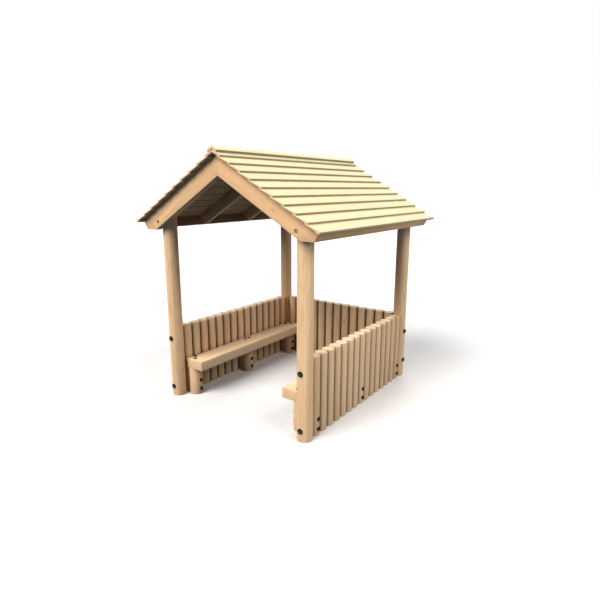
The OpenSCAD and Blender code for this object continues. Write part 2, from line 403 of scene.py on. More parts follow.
def together(pieces, name):
    """Join like pieces into one object."""
    fresh()
    for piece in pieces:
        piece.select_set(True)
    bpy.context.view_layer.objects.active = pieces[0]
    if len(pieces) > 1:
        bpy.ops.object.join()
    pieces[0].name = pieces[0].data.name = name
    return pieces[0]


def placed(piece, name, nodes, slot):
    """Give a piece its name, its finish and its body, and hide the frame nodes that it stands for."""
    piece.name = piece.data.name = name
    piece.data.materials.clear()
    piece.data.materials.append(material(slot))
    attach(piece, BODY)
    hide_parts(*nodes)


def add_node(tree, kind, inputs=None, **settings):
    """Add a shader node; an input is a value or another node's output."""
    made = tree.nodes.new(kind)
    for key, value in settings.items():
        setattr(made, key, value)
    for key, value in (inputs or {}).items():
        if isinstance(value, bpy.types.NodeSocket):
            tree.links.new(value, made.inputs[key])
        else:
            made.inputs[key].default_value = value
    return made


def new_material(name):
    made = bpy.data.materials.new(name)
    made.use_nodes = True
    tree = made.node_tree
    return made, tree, tree.nodes["Principled BSDF"]


def ramp(tree, share, stops, smooth_stops=False):
    """A colour ramp from (place, colour) stops."""
    made = add_node(tree, "ShaderNodeValToRGB", {"Fac": share})
    made.color_ramp.interpolation = "EASE" if smooth_stops else "LINEAR"
    points = made.color_ramp.elements
    while len(points) < len(stops):
        points.new(0.5)
    for point, (place, shade) in zip(points, stops):
        point.position = place
        point.color = (*shade, 1) if hasattr(shade, "__len__") else (shade, shade, shade, 1)
    return made.outputs["Color"]


def maths(tree, operation, a, b=0.0, c=0.0, clamp=False):
    made = add_node(tree, "ShaderNodeMath", {0: a, 1: b, 2: c}, operation=operation, use_clamp=clamp)
    return made.outputs[0]


def vector_maths(tree, operation, a, b, c=(0, 0, 0)):
    return add_node(tree, "ShaderNodeVectorMath", {0: a, 1: b, 2: c}, operation=operation).outputs[0]


def mix(tree, share, a, b):
    """One colour blended into another."""
    return add_node(tree, "ShaderNodeMix", {"Factor": share, 6: a, 7: b}, data_type="RGBA").outputs[2]


def stored(tree, name, socket="Fac"):
    """What a piece's mesh stores under a name."""
    return add_node(tree, "ShaderNodeAttribute", attribute_name=name).outputs[socket]


def speckle(tree, place, scale, detail):
    """Even noise."""
    made = add_node(tree, "ShaderNodeTexNoise", {"Vector": place, "Scale": scale, "Detail": detail})
    return made.outputs["Fac"]


def stretched_noise(tree, vector, stretch, detail=2.0):
    """Noise drawn out along the grain."""
    settings = {"Vector": vector_maths(tree, "MULTIPLY", vector, stretch), "Scale": 1.0}
    return add_node(tree, "ShaderNodeTexNoise", {**settings, "Detail": detail, "Roughness": 0.55})


def raise_grain(tree, shader, strength, distance, height):
    """Let a height show as a fine relief."""
    bump = add_node(tree, "ShaderNodeBump", {"Strength": strength, "Distance": distance, "Height": height})
    tree.links.new(bump.outputs["Normal"], shader.inputs["Normal"])


def wood(name, pale, dark, bare, rings=0.30, fibres=0.30, streaks=0.0, broad=0.35, tones=0.30, knots=0.10,
         polish=0.55, cover=0.5):
    """Softwood read from the log that each timber was cut from: growth rings about the pith, fibres, streaks,
    broad changes of colour, a tone for each timber, scattered knots, bare faces, and painted shade where the
    timber lies in shade."""
    pale, dark, heart = Vector(pale), Vector(dark), Vector(finish().knot)
    made, tree, shader = new_material(name)
    log = stored(tree, "grain", "Vector")
    tone = stored(tree, "tone")
    exposed = stored(tree, "bare")
    stain = stored(tree, "stain")
    wander = stretched_noise(tree, log, (11, 11, 1.3)).outputs["Color"]
    sway = vector_maths(tree, "ADD", wander, (-0.5, -0.5, -0.5))
    bent = vector_maths(tree, "MULTIPLY_ADD", sway, (RING_SWAY, RING_SWAY, 0), log)
    flat = vector_maths(tree, "MULTIPLY", bent, (1, 1, 0))
    radius = add_node(tree, "ShaderNodeVectorMath", {0: flat}, operation="LENGTH").outputs["Value"]
    reach = add_node(tree, "ShaderNodeSeparateXYZ", {0: bent}).outputs["Z"]
    taper = maths(tree, "MULTIPLY_ADD", reach, LOG_TAPER, radius)
    ring = maths(tree, "FRACT", maths(tree, "MULTIPLY", taper, 1 / RING_WIDTH))
    late = ramp(tree, ring, [(0.0, 0.0), (0.45, 0.08), (0.86, 1.0), (1.0, 0.0)], True)
    fibre = stretched_noise(tree, log, (260, 260, 5), 3.0).outputs["Fac"]
    cloud = stretched_noise(tree, log, (13, 13, 0.9)).outputs["Fac"]
    streak = stretched_noise(tree, log, (58, 58, 0.7), 1.0).outputs["Fac"]
    shade = maths(tree, "MULTIPLY", late, rings)
    shade = maths(tree, "MULTIPLY_ADD", maths(tree, "SUBTRACT", fibre, 0.5), fibres * 2, shade)
    shade = maths(tree, "MULTIPLY_ADD", maths(tree, "SUBTRACT", streak, 0.5), streaks * 2, shade)
    shade = maths(tree, "MULTIPLY_ADD", maths(tree, "SUBTRACT", cloud, 0.5), broad * 2, shade)
    shade = maths(tree, "MULTIPLY_ADD", maths(tree, "SUBTRACT", tone, 0.5), tones, shade)
    shade = maths(tree, "ADD", shade, 0.28, clamp=True)
    body = ramp(tree, shade, [(0.0, pale), (0.5, pale.lerp(dark, 0.42)), (1.0, dark)])
    cells = add_node(tree, "ShaderNodeTexVoronoi", {"Vector": bent, "Scale": 8.5, "Randomness": 1.0})
    cell = add_node(tree, "ShaderNodeSeparateColor", {0: cells.outputs["Color"]}).outputs[0]
    chosen = maths(tree, "GREATER_THAN", cell, 1 - knots)
    spot = ramp(tree, cells.outputs["Distance"], [(0.0, 1.0), (0.09, 0.85), (0.17, 0.25), (0.30, 0.0)], True)
    knot = maths(tree, "MULTIPLY", spot, chosen)
    knotted = mix(tree, maths(tree, "MULTIPLY", knot, KNOT_DEPTH), body, (*heart, 1))
    light = maths(tree, "SUBTRACT", 1.12, maths(tree, "MULTIPLY", shade, 0.34))
    cut = add_node(tree, "ShaderNodeVectorMath", {0: Vector(bare), "Scale": light}, operation="SCALE")
    bared = mix(tree, maths(tree, "MULTIPLY", exposed, cover), knotted, cut.outputs[0])
    # Painted shade: blend towards the dark shade colour as far as the mesh marks a face or point
    with_painted_shade = mix(tree, maths(tree, "MULTIPLY", stain, PAINTED_SHADE_DEPTH), bared, (*finish().stain, 1))
    tree.links.new(with_painted_shade, shader.inputs["Base Color"])
    rough = maths(tree, "MULTIPLY_ADD", fibre, 0.22, polish - 0.11)
    tree.links.new(rough, shader.inputs["Roughness"])
    raise_grain(tree, shader, 0.22, 0.0012, maths(tree, "MULTIPLY_ADD", late, -0.35, fibre))
    shader.inputs["Specular IOR Level"].default_value = 0.09
    return made


def moulded_black():
    """Semi-matt black plastic with a faint moulded grain and a painted highlight on the floor of the crown's
    dimple.
    """
    made, tree, shader = new_material("cap_black")
    place = add_node(tree, "ShaderNodeTexCoord").outputs["Object"]
    worn = speckle(tree, place, 60.0, 3.0)
    black = Vector(finish().cap)
    skin = ramp(tree, worn, [(0.35, black), (0.75, black * 2.2)])
    # Painted highlight: the marked dimple floor takes the paler crown colour
    painted_crown_highlight = mix(tree, stored(tree, "bare"), skin, (*finish().crown, 1))
    tree.links.new(painted_crown_highlight, shader.inputs["Base Color"])
    tree.links.new(maths(tree, "MULTIPLY_ADD", worn, 0.20, 0.45), shader.inputs["Roughness"])
    shader.inputs["Specular IOR Level"].default_value = 0.07
    raise_grain(tree, shader, 0.10, 0.0004, speckle(tree, place, 900.0, 2.0))
    return made


def zinc(name, dull):
    """Zinc plated steel: spangled, with duller patches."""
    made, tree, shader = new_material(name)
    place = add_node(tree, "ShaderNodeTexCoord").outputs["Object"]
    spangle = add_node(tree, "ShaderNodeTexVoronoi", {"Vector": place, "Scale": 260.0}).outputs["Color"]
    flake = add_node(tree, "ShaderNodeSeparateColor", {0: spangle}).outputs[0]
    patch = speckle(tree, place, 55.0, 4.0)
    steel = Vector(finish().steel)
    mixed = maths(tree, "MULTIPLY_ADD", flake, 0.35, maths(tree, "MULTIPLY", patch, 0.65))
    tint = ramp(tree, mixed, [(0.2, steel * (0.75 - dull)), (0.8, steel * (1.2 - dull))])
    tree.links.new(tint, shader.inputs["Base Color"])
    tree.links.new(maths(tree, "MULTIPLY_ADD", patch, 0.3, 0.25), shader.inputs["Roughness"])
    shader.inputs["Metallic"].default_value = 1.0
    return made


WOODS = {
    "post_wood": ("post", {
        "rings": 0.26, "fibres": 0.44, "streaks": 0.75, "broad": 0.36, "tones": 0.16, "knots": 0.08}),
    "rafter_wood": ("rafter", {
        "rings": 0.30, "fibres": 0.32, "broad": 0.40, "tones": 0.16, "knots": 0.06, "cover": 0.9}),
    "roof_wood": ("roof", {
        "rings": 0.30, "fibres": 0.40, "broad": 0.34, "tones": 0.26, "knots": 0.015,
        "polish": 0.86, "cover": 0.92}),
    "paling_wood": ("paling", {
        "rings": 0.20, "fibres": 0.36, "streaks": 0.30, "broad": 0.32, "tones": 0.55, "knots": 0.06}),
    "bench_wood": ("bench", {
        "rings": 0.34, "fibres": 0.34, "streaks": 0.24, "broad": 0.34, "tones": 0.12, "knots": 0.06}),
}


def material(slot):
    """The finish for one slot name, made once."""
    if slot in bpy.data.materials and bpy.data.materials[slot].get("gazebo"):
        return bpy.data.materials[slot]
    if slot in WOODS:
        stock, habit = WOODS[slot]
        shades = [getattr(finish(), f"{stock}_{part}") for part in ("pale", "dark", "bare")]
        made = wood(slot, *shades, **habit)
    elif slot == "cap_black":
        made = moulded_black()
    else:
        made = zinc(slot, 0.0 if slot == "rod_steel" else 0.45)
    made.name = slot
    made["gazebo"] = True
    return made


def rafter_outline(side, s, depth, foot):
    """Mitred at the ridge, square-cut at s, with a level cut below."""
    pitch = sizes().pitch
    top, end = slope_at(side, 0, 0), slope_at(side, s, 0)
    square = (end.y - foot) / math.cos(pitch)
    heel = slope_at(side, s, -square)
    toe = slope_at(side, s - (depth - square) / math.tan(pitch), -depth)
    return [tuple(top), tuple(end), tuple(heel), (toe.x, foot), (0.0, RIDGE_Z - depth / math.cos(pitch))]


def rafter_bolt_place():
    """How far out and how high the bolts of the end rafters sit."""
    low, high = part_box("rafter_bolts")
    return high.x - (high.z - low.z) / 2, (low.z + high.z) / 2


def rafter_blank(name, side, low, high, depth, ease):
    """One rafter between the corners of its frame node."""
    s = max(abs(low.x), abs(high.x)) / math.cos(sizes().pitch)
    return sawn(name, rafter_outline(side, s, depth, low.z), low.y, high.y, ease)


class GAZEBO_OT_posts(Operator):
    """Turn the four posts, cut their tops to the roof and let in the end rafters"""
    bl_idname = "gazebo.posts"
    bl_label = "Posts"

    def execute(self, context):
        draw = random.Random(11)
        size = sizes()
        corners = [(end, name) for end in ENDS for name in SIDES]
        middles = [standing(f"{end}_{name}_post")[0] for end, name in corners]
        radius, top = standing("front_left_post")[1:]
        spare = 0.03
        blank = turned("post", top + spare, radius, size.round_ease, 72)
        posts = copies(blank, [((m.x, m.y, 0), UP) for m in middles])
        for (end, name), middle, post in zip(corners, middles, posts):
            node = f"{end}_{name}_post"
            side = SIDES[name]
            hold(post)
            bpy.ops.object.mode_set(mode="EDIT")
            saw_off((0, 0, RIDGE_Z), roof_normal(side))
            bpy.ops.object.mode_set(mode="OBJECT")
            cut_by(post, rafter_blank("cutter", side, *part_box(f"{end}_{name}_rafter"), size.rafter_depth, 0))
            lay_grain(post, UP, off_centre(middle, 0.012, draw), draw)
            # Painted shade all over the back left post; none on the others
            mark(post, "stain", "FACE", lambda f: weather().shaded_post * (node == PAINTED_SHADE_POST))
            smooth(post)
            placed(post, f"{node}_timber", [node], "post_wood")
        return {"FINISHED"}


def rafter_pair(prefix, side_name, depth):
    """A front rafter of one side and its copy at the back."""
    low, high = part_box(f"{prefix}front_{side_name}_rafter")
    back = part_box(f"{prefix}back_{side_name}_rafter")[0]
    blank = rafter_blank("rafter", SIDES[side_name], low, high, depth, sizes().sawn_ease)
    return copies(blank, [((0, 0, 0), UP), ((0, back.y - low.y, 0), UP)])


class GAZEBO_OT_end_rafters(Operator):
    """Saw the front and back rafter pairs and counterbore them for their bolts"""
    bl_idname = "gazebo.end_rafters"
    bl_label = "End rafters"

    def execute(self, context):
        draw = random.Random(23)
        size = sizes()
        back = weather().rafter_back
        bolt_x, bolt_z = rafter_bolt_place()
        for name, side in SIDES.items():
            for (end, towards), rafter in zip(ENDS.items(), rafter_pair("", name, size.rafter_depth)):
                node = f"{end}_{name}_rafter"
                low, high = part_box(node)
                face = low.y if towards < 0 else high.y
                bolt = (side * bolt_x, face, bolt_z)
                cut_by(rafter, plug(bolt, (0, towards, 0), size.rafter_bore / 2, size.bore_deep))
                heart = slope_at(side, 0, -size.rafter_depth / 2 + draw.uniform(-0.02, 0.02))
                pith = (heart.x, (low.y + high.y) / 2 - towards * draw.uniform(0.05, 0.11), heart.y)
                lay_grain(rafter, down_slope(side), pith, draw)
                inward = -towards * ALONG_Y
                # Painted shade on the rafter's lower faces and on the faces turned in under the roof
                mark(rafter, "stain", "FACE", lambda f: back * (looks(f, -UP, 0.7) or looks(f, inward, 0.5)))
                smooth(rafter)
                placed(rafter, f"{node}_timber", [node], "rafter_wood")
        return {"FINISHED"}


class GAZEBO_OT_inner_rafters(Operator):
    """Saw the two lighter rafter pairs between the ends"""
    bl_idname = "gazebo.inner_rafters"
    bl_label = "Inner rafters"

    def execute(self, context):
        draw = random.Random(31)
        size = sizes()
        for name, side in SIDES.items():
            for end, rafter in zip(ENDS, rafter_pair("inner_", name, size.inner_depth)):
                node = f"inner_{end}_{name}_rafter"
                heart = slope_at(side, 0, -size.inner_depth * draw.uniform(0.2, 0.8))
                pith = (heart.x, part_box(node)[0].y - draw.uniform(0.02, 0.06), heart.y)
                lay_grain(rafter, down_slope(side), pith, draw)
                # Painted shade all over the inner rafters, which lie in the roof's shade
                mark(rafter, "stain", "FACE", lambda f: weather().inner_rafter)
                smooth(rafter)
                placed(rafter, f"{node}_timber", [node], "rafter_wood")
        return {"FINISHED"}


class GAZEBO_OT_fascias(Operator):
    """Saw the fascia boards that close the rafter ends"""
    bl_idname = "gazebo.fascias"
    bl_label = "Fascias"

    def execute(self, context):
        draw = random.Random(37)
        size = sizes()
        for name, side in SIDES.items():
            node = f"{name}_fascia"
            low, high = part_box(node)
            s = max(abs(low.x), abs(high.x)) / math.cos(size.pitch)
            back = s - size.fascia_thick
            outline = on_slope(side, [(back, 0), (s, 0), (s, -size.fascia_depth), (back, -size.fascia_depth)])
            board = sawn("fascia", outline, low.y, high.y, size.sawn_ease)
            heart = slope_at(side, s + draw.uniform(0.06, 0.10), -size.fascia_depth / 2)
            lay_grain(board, ALONG_Y, (heart.x, 0, heart.y), draw)
            mark(board, "bare", "FACE", lambda f: 1.0)
            inward = Vector((-side, 0, 0))
            # Painted shade on the fascia's inner face, under the eaves
            mark(board, "stain", "FACE", lambda f: weather().fascia_back * looks(f, inward, 0.3))
            smooth(board)
            placed(board, f"{node}_timber", [node], "rafter_wood")
        return {"FINISHED"}


class GAZEBO_OT_roof_boards(Operator):
    """Saw the lapped boards of both slopes, each thick at its lower edge and tucked under the next"""
    bl_idname = "gazebo.roof_boards"
    bl_label = "Roof boards"

    def execute(self, context):
        draw = random.Random(43)
        size = sizes()
        top = size.board_rise + size.board_butt
        for name, side in SIDES.items():
            node = f"{name}_roof_boards"
            low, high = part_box(node)
            eave = reach_down(low, high, top)
            ridge = reach_down(*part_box(f"{name}_ridge_board"), top + size.ridge_thick)
            lap = (eave - ridge - size.cap_reveal) / (size.courses - 1)
            up = eave - lap - size.board_cover
            rim = top - size.board_butt / lap * (eave - up)
            first = self.saw(side, [(eave, size.board_rise), (eave, top), (up, rim), (up, 0)], low.y, high.y)
            boards = copies(first, [(down_slope(side) * -lap * k, UP) for k in range(size.courses - 1)])
            last = eave - lap * (size.courses - 1)
            tuck = size.board_tuck
            peak = [(last, size.board_rise), (last, top), (-size.peak_lean, top), (tuck, tuck)]
            boards.append(self.saw(side, peak, low.y, high.y))
            near, far = eave - tuck, eave - size.strip_reach
            strip = [(far, 0), (far, size.board_rise * STRIP_TAPER), (near, size.board_rise), (near, 0)]
            boards.append(self.saw(side, strip, low.y, high.y))
            for k, board in enumerate(boards):
                self.trim(board, low.y, high.y, draw)
                heart = slope_at(side, eave - lap * (k + draw.uniform(0.1, 0.9)), -draw.uniform(0.05, 0.16))
                lay_grain(board, ALONG_Y, (heart.x, 0, heart.y), draw)
                # Painted shade line on the lower edge of each course except the eave course and the strip
                mark_bare_and_painted_shade(board, side, weather().board_lip if 0 < k < size.courses else 0.0)
            slope = together(boards, node)
            smooth(slope)
            placed(slope, f"{node}_timber", [node], "roof_wood")
        return {"FINISHED"}

    def saw(self, side, places, y0, y1):
        return sawn("board", on_slope(side, places), y0, y1, sizes().board_ease)

    def trim(self, board, y0, y1, draw):
        """Move both end faces in by a little, as boards are cut to length by hand."""
        hold(board)
        bpy.ops.object.mode_set(mode="EDIT")
        for towards, end in ((1, y0), (-1, y1)):
            choose(board, "verts", lambda v: abs(v.co.y - end) < 0.01)
            bpy.ops.transform.translate(value=(0, towards * draw.uniform(0, sizes().board_trim), 0))
        bpy.ops.object.mode_set(mode="OBJECT")


def reach_down(low, high, h):
    """How far down the slope a node's lower edge lies, at a height over the rafters."""
    pitch = sizes().pitch
    return (max(abs(low.x), abs(high.x)) - h * math.sin(pitch)) / math.cos(pitch)


class GAZEBO_OT_ridge_boards(Operator):
    """Saw the two mitred boards that cover the ridge"""
    bl_idname = "gazebo.ridge_boards"
    bl_label = "Ridge boards"

    def execute(self, context):
        draw = random.Random(53)
        size = sizes()
        under = size.board_rise + size.board_butt
        over = under + size.ridge_thick
        for name, side in SIDES.items():
            node = f"{name}_ridge_board"
            low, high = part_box(node)
            s = reach_down(low, high, over)
            outline = [(0.0, RIDGE_Z + under / math.cos(size.pitch)), tuple(slope_at(side, s, under)),
                       tuple(slope_at(side, s, over)), (0.0, RIDGE_Z + over / math.cos(size.pitch))]
            board = sawn("ridge_board", outline, low.y, high.y, size.board_ease)
            pith_depth = 0.09
            heart = slope_at(side, s / 2, -pith_depth)
            lay_grain(board, ALONG_Y, (heart.x, 0, heart.y), draw)
            # Painted shade on the ridge boards' lower edges, upper edges and undersides
            mark_bare_and_painted_shade(board, side, weather().ridge_lip)
            smooth(board)
            placed(board, f"{node}_timber", [node], "roof_wood")
        return {"FINISHED"}


def painted_gap_shade(share):
    """Painted shade on a paling at a share of its radius from its middle: none on its face, full beside the
    next paling, in the shaded crease between them.
    """
    start, full = weather().gap_from, weather().gap_full
    return min(1.0, max(0.0, share - start) / (full - start))


class GAZEBO_OT_palisades(Operator):
    """Turn a round paling and stand its copies in the three walls"""
    bl_idname = "gazebo.palisades"
    bl_label = "Palisades"

    def execute(self, context):
        draw = random.Random(61)
        size = sizes()
        corner, radius, _ = standing("back_right_post")
        side_wall, back_wall = (size.side_pales, corner.y), (size.back_pales, corner.x)
        walls = {"left": side_wall, "right": side_wall, "back": back_wall}
        places = []
        for wall, (count, half) in walls.items():
            low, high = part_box(f"{wall}_palisade")
            middle = (low + high) / 2
            for i in range(count):
                along = (i - (count - 1) / 2) * 2 * (half - radius) / count
                places.append((along, middle.y, 0) if wall == "back" else (middle.x, along, 0))
        blank = turned("paling", high.z, size.pale_d / 2, size.round_ease)
        palings = copies(blank, [(place, UP) for place in places])
        rim = high.z - size.round_ease
        for wall, (count, _) in walls.items():
            axis = 0 if wall == "back" else 1
            # Painted shade on the paling tops of the left and back walls, which lie in the roof's shade; none
            # on the right wall's tops
            painted_top_shade = 0.0 if wall == "right" else weather().wall_top
            row, palings = palings[:count], palings[count:]
            for paling, place in zip(row, places):

                def stain(point):
                    if point.co.z > rim:
                        return painted_top_shade
                    return painted_gap_shade(abs(point.co[axis] - place[axis]) / (size.pale_d / 2))

                lay_grain(paling, UP, off_centre(place, 0.015, draw), draw)
                # Painted shade in the creases between palings and on the wall tops
                mark(paling, "stain", "POINT", stain)
            places = places[count:]
            fence = together(row, wall)
            smooth(fence)
            placed(fence, f"{wall}_palisade_timber", [f"{wall}_palisade"], "paling_wood")
        return {"FINISHED"}


class GAZEBO_OT_seats(Operator):
    """Saw the two seat planks and counterbore them over the legs"""
    bl_idname = "gazebo.seats"
    bl_label = "Seats"

    def execute(self, context):
        draw = random.Random(71)
        size = sizes()
        for name in SIDES:
            node = f"{name}_seat"
            low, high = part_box(node)
            outline = [(low.x, low.z), (high.x, low.z), (high.x, high.z), (low.x, high.z)]
            seat = sawn("seat", outline, low.y, high.y, size.seat_ease, 3)
            places = seat_bolts(name, high.z)
            cutters = [plug(place, UP, size.seat_bore / 2, size.bore_deep) for place in places]
            cut_by(seat, together(cutters, "cutter"))
            pith = ((low.x + high.x) / 2 + draw.uniform(-0.03, 0.03), 0, low.z - draw.uniform(0.02, 0.06))
            lay_grain(seat, ALONG_Y, pith, draw)
            smooth(seat, 30)
            placed(seat, f"{node}_timber", [node], "bench_wood")
        return {"FINISHED"}


def seat_bolts(name, top):
    """Places of the seat bolts on one side: slanting pairs at the ends, a pair in line in the middle."""
    side = SIDES[name]
    out = sizes().seat_bolt_out
    found = []
    for k, leg in enumerate(LEGS):
        low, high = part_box(f"{name}_{leg}_leg")
        middle = (low + high) / 2
        turn = math.radians(45 + 45 * k)
        for way in (-1, 1):
            across, along = side * way * out * math.cos(turn), way * out * math.sin(turn)
            found.append(Vector((middle.x + across, middle.y + along, top)))
    return found


class GAZEBO_OT_legs(Operator):
    """Turn a bench leg and stand its copies under the seats"""
    bl_idname = "gazebo.legs"
    bl_label = "Bench legs"

    def execute(self, context):
        draw = random.Random(79)
        nodes = [f"{name}_{leg}_leg" for name in SIDES for leg in LEGS]
        middles = [standing(node)[0] for node in nodes]
        radius, top = standing(nodes[0])[1:]
        blank = turned("leg", top, radius, sizes().round_ease, 64)
        legs = copies(blank, [((m.x, m.y, 0), UP) for m in middles])
        for node, middle, leg in zip(nodes, middles, legs):
            lay_grain(leg, UP, off_centre(middle, 0.015, draw), draw)
            mark(leg, "bare", "FACE", lambda f: 1.0)
            smooth(leg)
            placed(leg, f"{node}_timber", [node], "bench_wood")
        return {"FINISHED"}


def domed_cap(diameter, face_d):
    """A domed cap that looks up, with a dimple in its crown and its back hollowed to a round timber."""
    size = sizes()
    spare = 0.002
    sink = face_d / 2 - math.sqrt((face_d / 2) ** 2 - (diameter / 2) ** 2) + spare
    tall = size.cap_edge + size.cap_dome
    rim = diameter * 0.14
    fresh()
    bpy.ops.mesh.primitive_cylinder_add(
        vertices=32, radius=diameter / 2, depth=tall + sink, location=(0, 0, (tall - sink) / 2))
    cap = settle("cap")
    bpy.ops.object.mode_set(mode="EDIT")
    choose(cap, "edges", lambda e: all(v.co.z > tall - 1e-6 for v in e.verts))
    bpy.ops.mesh.bevel(offset=size.cap_dome, segments=5, profile=0.5, affect="EDGES")
    choose(cap, "faces", lambda f: f.normal.z > 0.999 and f.calc_center_median().z > tall - 1e-6)
    bpy.ops.mesh.inset(thickness=rim)
    bpy.ops.mesh.extrude_region_move(TRANSFORM_OT_translate={"value": (0, 0, -size.dimple_deep)})
    bpy.ops.mesh.inset(thickness=size.dimple_edge)
    bpy.ops.object.mode_set(mode="OBJECT")
    bed = tall - size.dimple_deep
    # Mark the dimple floor for the painted highlight
    mark(cap, "bare", "FACE", lambda f: float(looks(f, UP, 0.99) and abs(f.center.z - bed) < 1e-5))
    fresh()
    bpy.ops.mesh.primitive_cylinder_add(
        vertices=96, radius=face_d / 2, depth=diameter * 3, location=(0, 0, -face_d / 2),
        rotation=(0, math.pi / 2, 0))
    cut_by(cap, settle("cutter"))
    return cap


class GAZEBO_OT_caps(Operator):
    """Mould the domed caps over the rod ends and the bench bolts"""
    bl_idname = "gazebo.caps"
    bl_label = "Caps"

    def execute(self, context):
        size = sizes()
        post, radius, _ = standing("back_right_post")
        levels = {}
        for wall in ("right", "back"):
            low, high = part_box(f"{wall}_tie_rods")
            rod = (high.x - low.x if wall == "right" else high.y - low.y) / 2
            levels[wall] = (low.z + rod, high.z - rod)
        places = []
        for side in SIDES.values():
            for level in levels["right"]:
                places += [((side * post.x, e * (post.y + radius), level), (0, e, 0)) for e in ENDS.values()]
            places += [((side * (post.x + radius), post.y, level), (side, 0, 0)) for level in levels["back"]]
        caps = together(copies(domed_cap(size.post_cap, 2 * radius), places), "caps")
        smooth(caps, 50)
        placed(caps, "post_caps_moulded", ["post_caps"], "cap_black")
        low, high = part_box("bench_caps")
        wall_low, wall_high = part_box("right_palisade")
        wall_x = (wall_low.x + wall_high.x) / 2 + size.pale_d / 2
        inner, outer = [], []
        for name, side in SIDES.items():
            for leg in LEGS:
                middle, leg_r, _ = standing(f"{name}_{leg}_leg")
                for level in (low.z + size.bench_cap / 2, high.z - size.bench_cap / 2):
                    inner.append(((middle.x - side * leg_r, middle.y, level), (-side, 0, 0)))
                    outer.append(((side * wall_x, middle.y, level), (side, 0, 0)))
        found = copies(domed_cap(size.bench_cap, 2 * leg_r), inner)
        found += copies(domed_cap(size.bench_cap, size.pale_d), outer)
        caps = together(found, "caps")
        smooth(caps, 50)
        placed(caps, "bench_caps_moulded", ["bench_caps"], "cap_black")
        return {"FINISHED"}


def hex_bolt():
    """A hexagon bolt head on a washer, looking up, with its seat at the origin."""
    size = sizes()
    thick, head = size.washer_thick, size.hex_head
    fresh()
    bpy.ops.mesh.primitive_cylinder_add(
        vertices=28, radius=size.washer_d / 2, depth=thick, location=(0, 0, thick / 2))
    washer = settle("washer")
    bpy.ops.object.mode_set(mode="EDIT")
    choose(washer, "edges", lambda e: all(v.co.z > thick - 1e-6 for v in e.verts))
    bpy.ops.mesh.bevel(offset=thick * 0.3, segments=2, affect="EDGES")
    bpy.ops.object.mode_set(mode="OBJECT")
    fresh()
    bpy.ops.mesh.primitive_cylinder_add(
        vertices=6, radius=size.hex_across / math.sqrt(3), depth=head, location=(0, 0, thick + head / 2))
    bolt = settle("bolt")
    bpy.ops.object.mode_set(mode="EDIT")
    choose(bolt, "edges", lambda e: all(v.co.z > thick + head - 1e-6 for v in e.verts))
    bpy.ops.mesh.bevel(offset=head * 0.2, segments=2, affect="EDGES")
    bpy.ops.object.mode_set(mode="OBJECT")
    return together([bolt, washer], "bolt")


def seat_plug():
    """A plug for a seat counterbore, looking up, with its thin flange on the seat and a shallow dish."""
    size = sizes()
    play = 0.0003
    radius = size.seat_bore / 2 - play
    fresh()
    bpy.ops.mesh.primitive_cylinder_add(
        vertices=40, radius=radius, depth=size.bore_deep, location=(0, 0, -size.bore_deep / 2))
    cover = settle("plug")
    bpy.ops.object.mode_set(mode="EDIT")
    choose(cover, "faces", lambda f: f.normal.z > 0.999)
    bpy.ops.mesh.extrude_region_move(TRANSFORM_OT_translate={"value": (0, 0, 0)})
    grow = size.seat_flange / 2 / radius
    bpy.ops.transform.resize(value=(grow, grow, 1))
    bpy.ops.mesh.extrude_region_move(TRANSFORM_OT_translate={"value": (0, 0, size.flange_thick)})
    crown = size.flange_thick - 1e-6
    choose(cover, "edges", lambda e: all(v.co.z > crown for v in e.verts))
    bpy.ops.mesh.bevel(offset=size.flange_thick * 0.7, segments=3, affect="EDGES")
    choose(cover, "faces", lambda f: f.normal.z > 0.999 and f.calc_center_median().z > crown)
    bpy.ops.mesh.inset(thickness=radius * 0.5)
    bpy.ops.mesh.extrude_region_move(TRANSFORM_OT_translate={"value": (0, 0, -size.flange_thick * 0.6)})
    bpy.ops.object.mode_set(mode="OBJECT")
    return cover


class GAZEBO_OT_bolts(Operator):
    """Make the plugs in the counterbores of the seats and the hexagon bolts in those of the end rafters"""
    bl_idname = "gazebo.bolts"
    bl_label = "Bolts and plugs"

    def execute(self, context):
        size = sizes()
        seat_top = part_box("left_seat")[1].z
        places = [(place, UP) for name in SIDES for place in seat_bolts(name, seat_top)]
        plugs = together(copies(seat_plug(), places), "plugs")
        smooth(plugs, 35)
        placed(plugs, "seat_bolts_plugs", ["seat_bolts"], "cap_black")
        bolt_x, bolt_z = rafter_bolt_place()
        places = []
        for end, towards in ENDS.items():
            low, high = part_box(f"{end}_right_rafter")
            bed = low.y + size.bore_deep if towards < 0 else high.y - size.bore_deep
            places += [((side * bolt_x, bed, bolt_z), (0, towards, 0)) for side in SIDES.values()]
        bolts = together(copies(hex_bolt(), places), "bolts")
        smooth(bolts, 35)
        placed(bolts, "rafter_bolts_hex", ["rafter_bolts"], "bolt_steel")
        return {"FINISHED"}


class GAZEBO_OT_tie_rods(Operator):
    """Finish the tie rods inside the palisades, which keep their shape from the frame"""
    bl_idname = "gazebo.tie_rods"
    bl_label = "Tie rods"

    def execute(self, context):
        for wall in ("left", "right", "back"):
            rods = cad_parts[f"{wall}_tie_rods"]
            rods.data.materials.clear()
            rods.data.materials.append(material("rod_steel"))
        return {"FINISHED"}


def soft_sun(name, heading, height, spread, strength):
    """A wide, even light from a heading and a height; a white face square to it renders at its strength."""
    lamp = bpy.data.lights.new(name, "SUN")
    lamp.angle = math.radians(spread)
    lamp.energy = strength * math.pi
    holder = bpy.data.objects.new(name, lamp)
    turn, rise = math.radians(heading), math.radians(height)
    towards = Vector((math.cos(rise) * math.cos(turn), math.cos(rise) * math.sin(turn), math.sin(rise)))
    holder.location = towards * 9
    holder.rotation_euler = (-towards).to_track_quat("-Z", "Y").to_euler()
    bpy.context.scene.collection.objects.link(holder)


